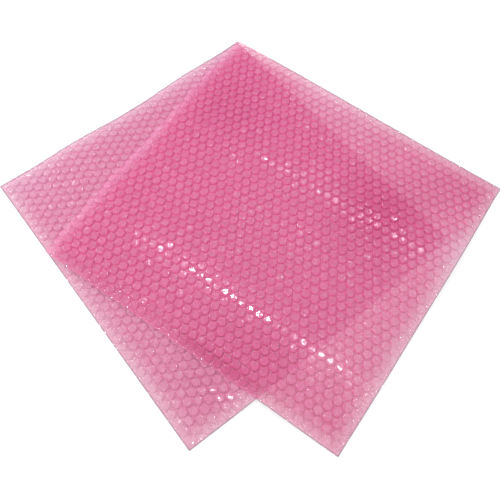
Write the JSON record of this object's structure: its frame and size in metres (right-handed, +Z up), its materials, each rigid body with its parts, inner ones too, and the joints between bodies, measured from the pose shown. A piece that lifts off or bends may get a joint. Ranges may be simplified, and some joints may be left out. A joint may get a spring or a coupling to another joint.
{
  "type": "stack of two bubble wrap sheets",
  "caption": "Square sheets of pink small-bubble cushioning film, the upper one fanned round a shared corner on the lower one's bubbles.",
  "frame": {"origin": "centre of the stack's bounding box in X and Y, on the surface that the lower sheet's flat film lies on", "axes": "+Z up, away from the surface; -Y towards the viewer of the picture; +X to the right; the shared corner points to +Y"},
  "size_m": [0.623, 0.557, 0.0144],
  "materials": {
    "lower_film": "clear pink polyethylene film, glossy on the bubbles, paler near its cut edges",
    "upper_film": "clear pink polyethylene film, glossy on the bubbles, paler near its cut edges"
  },
  "bodies": {
    "root": {"lower_sheet": "lower_film", "upper_sheet": "upper_film"}
  },
  "joints": []
}
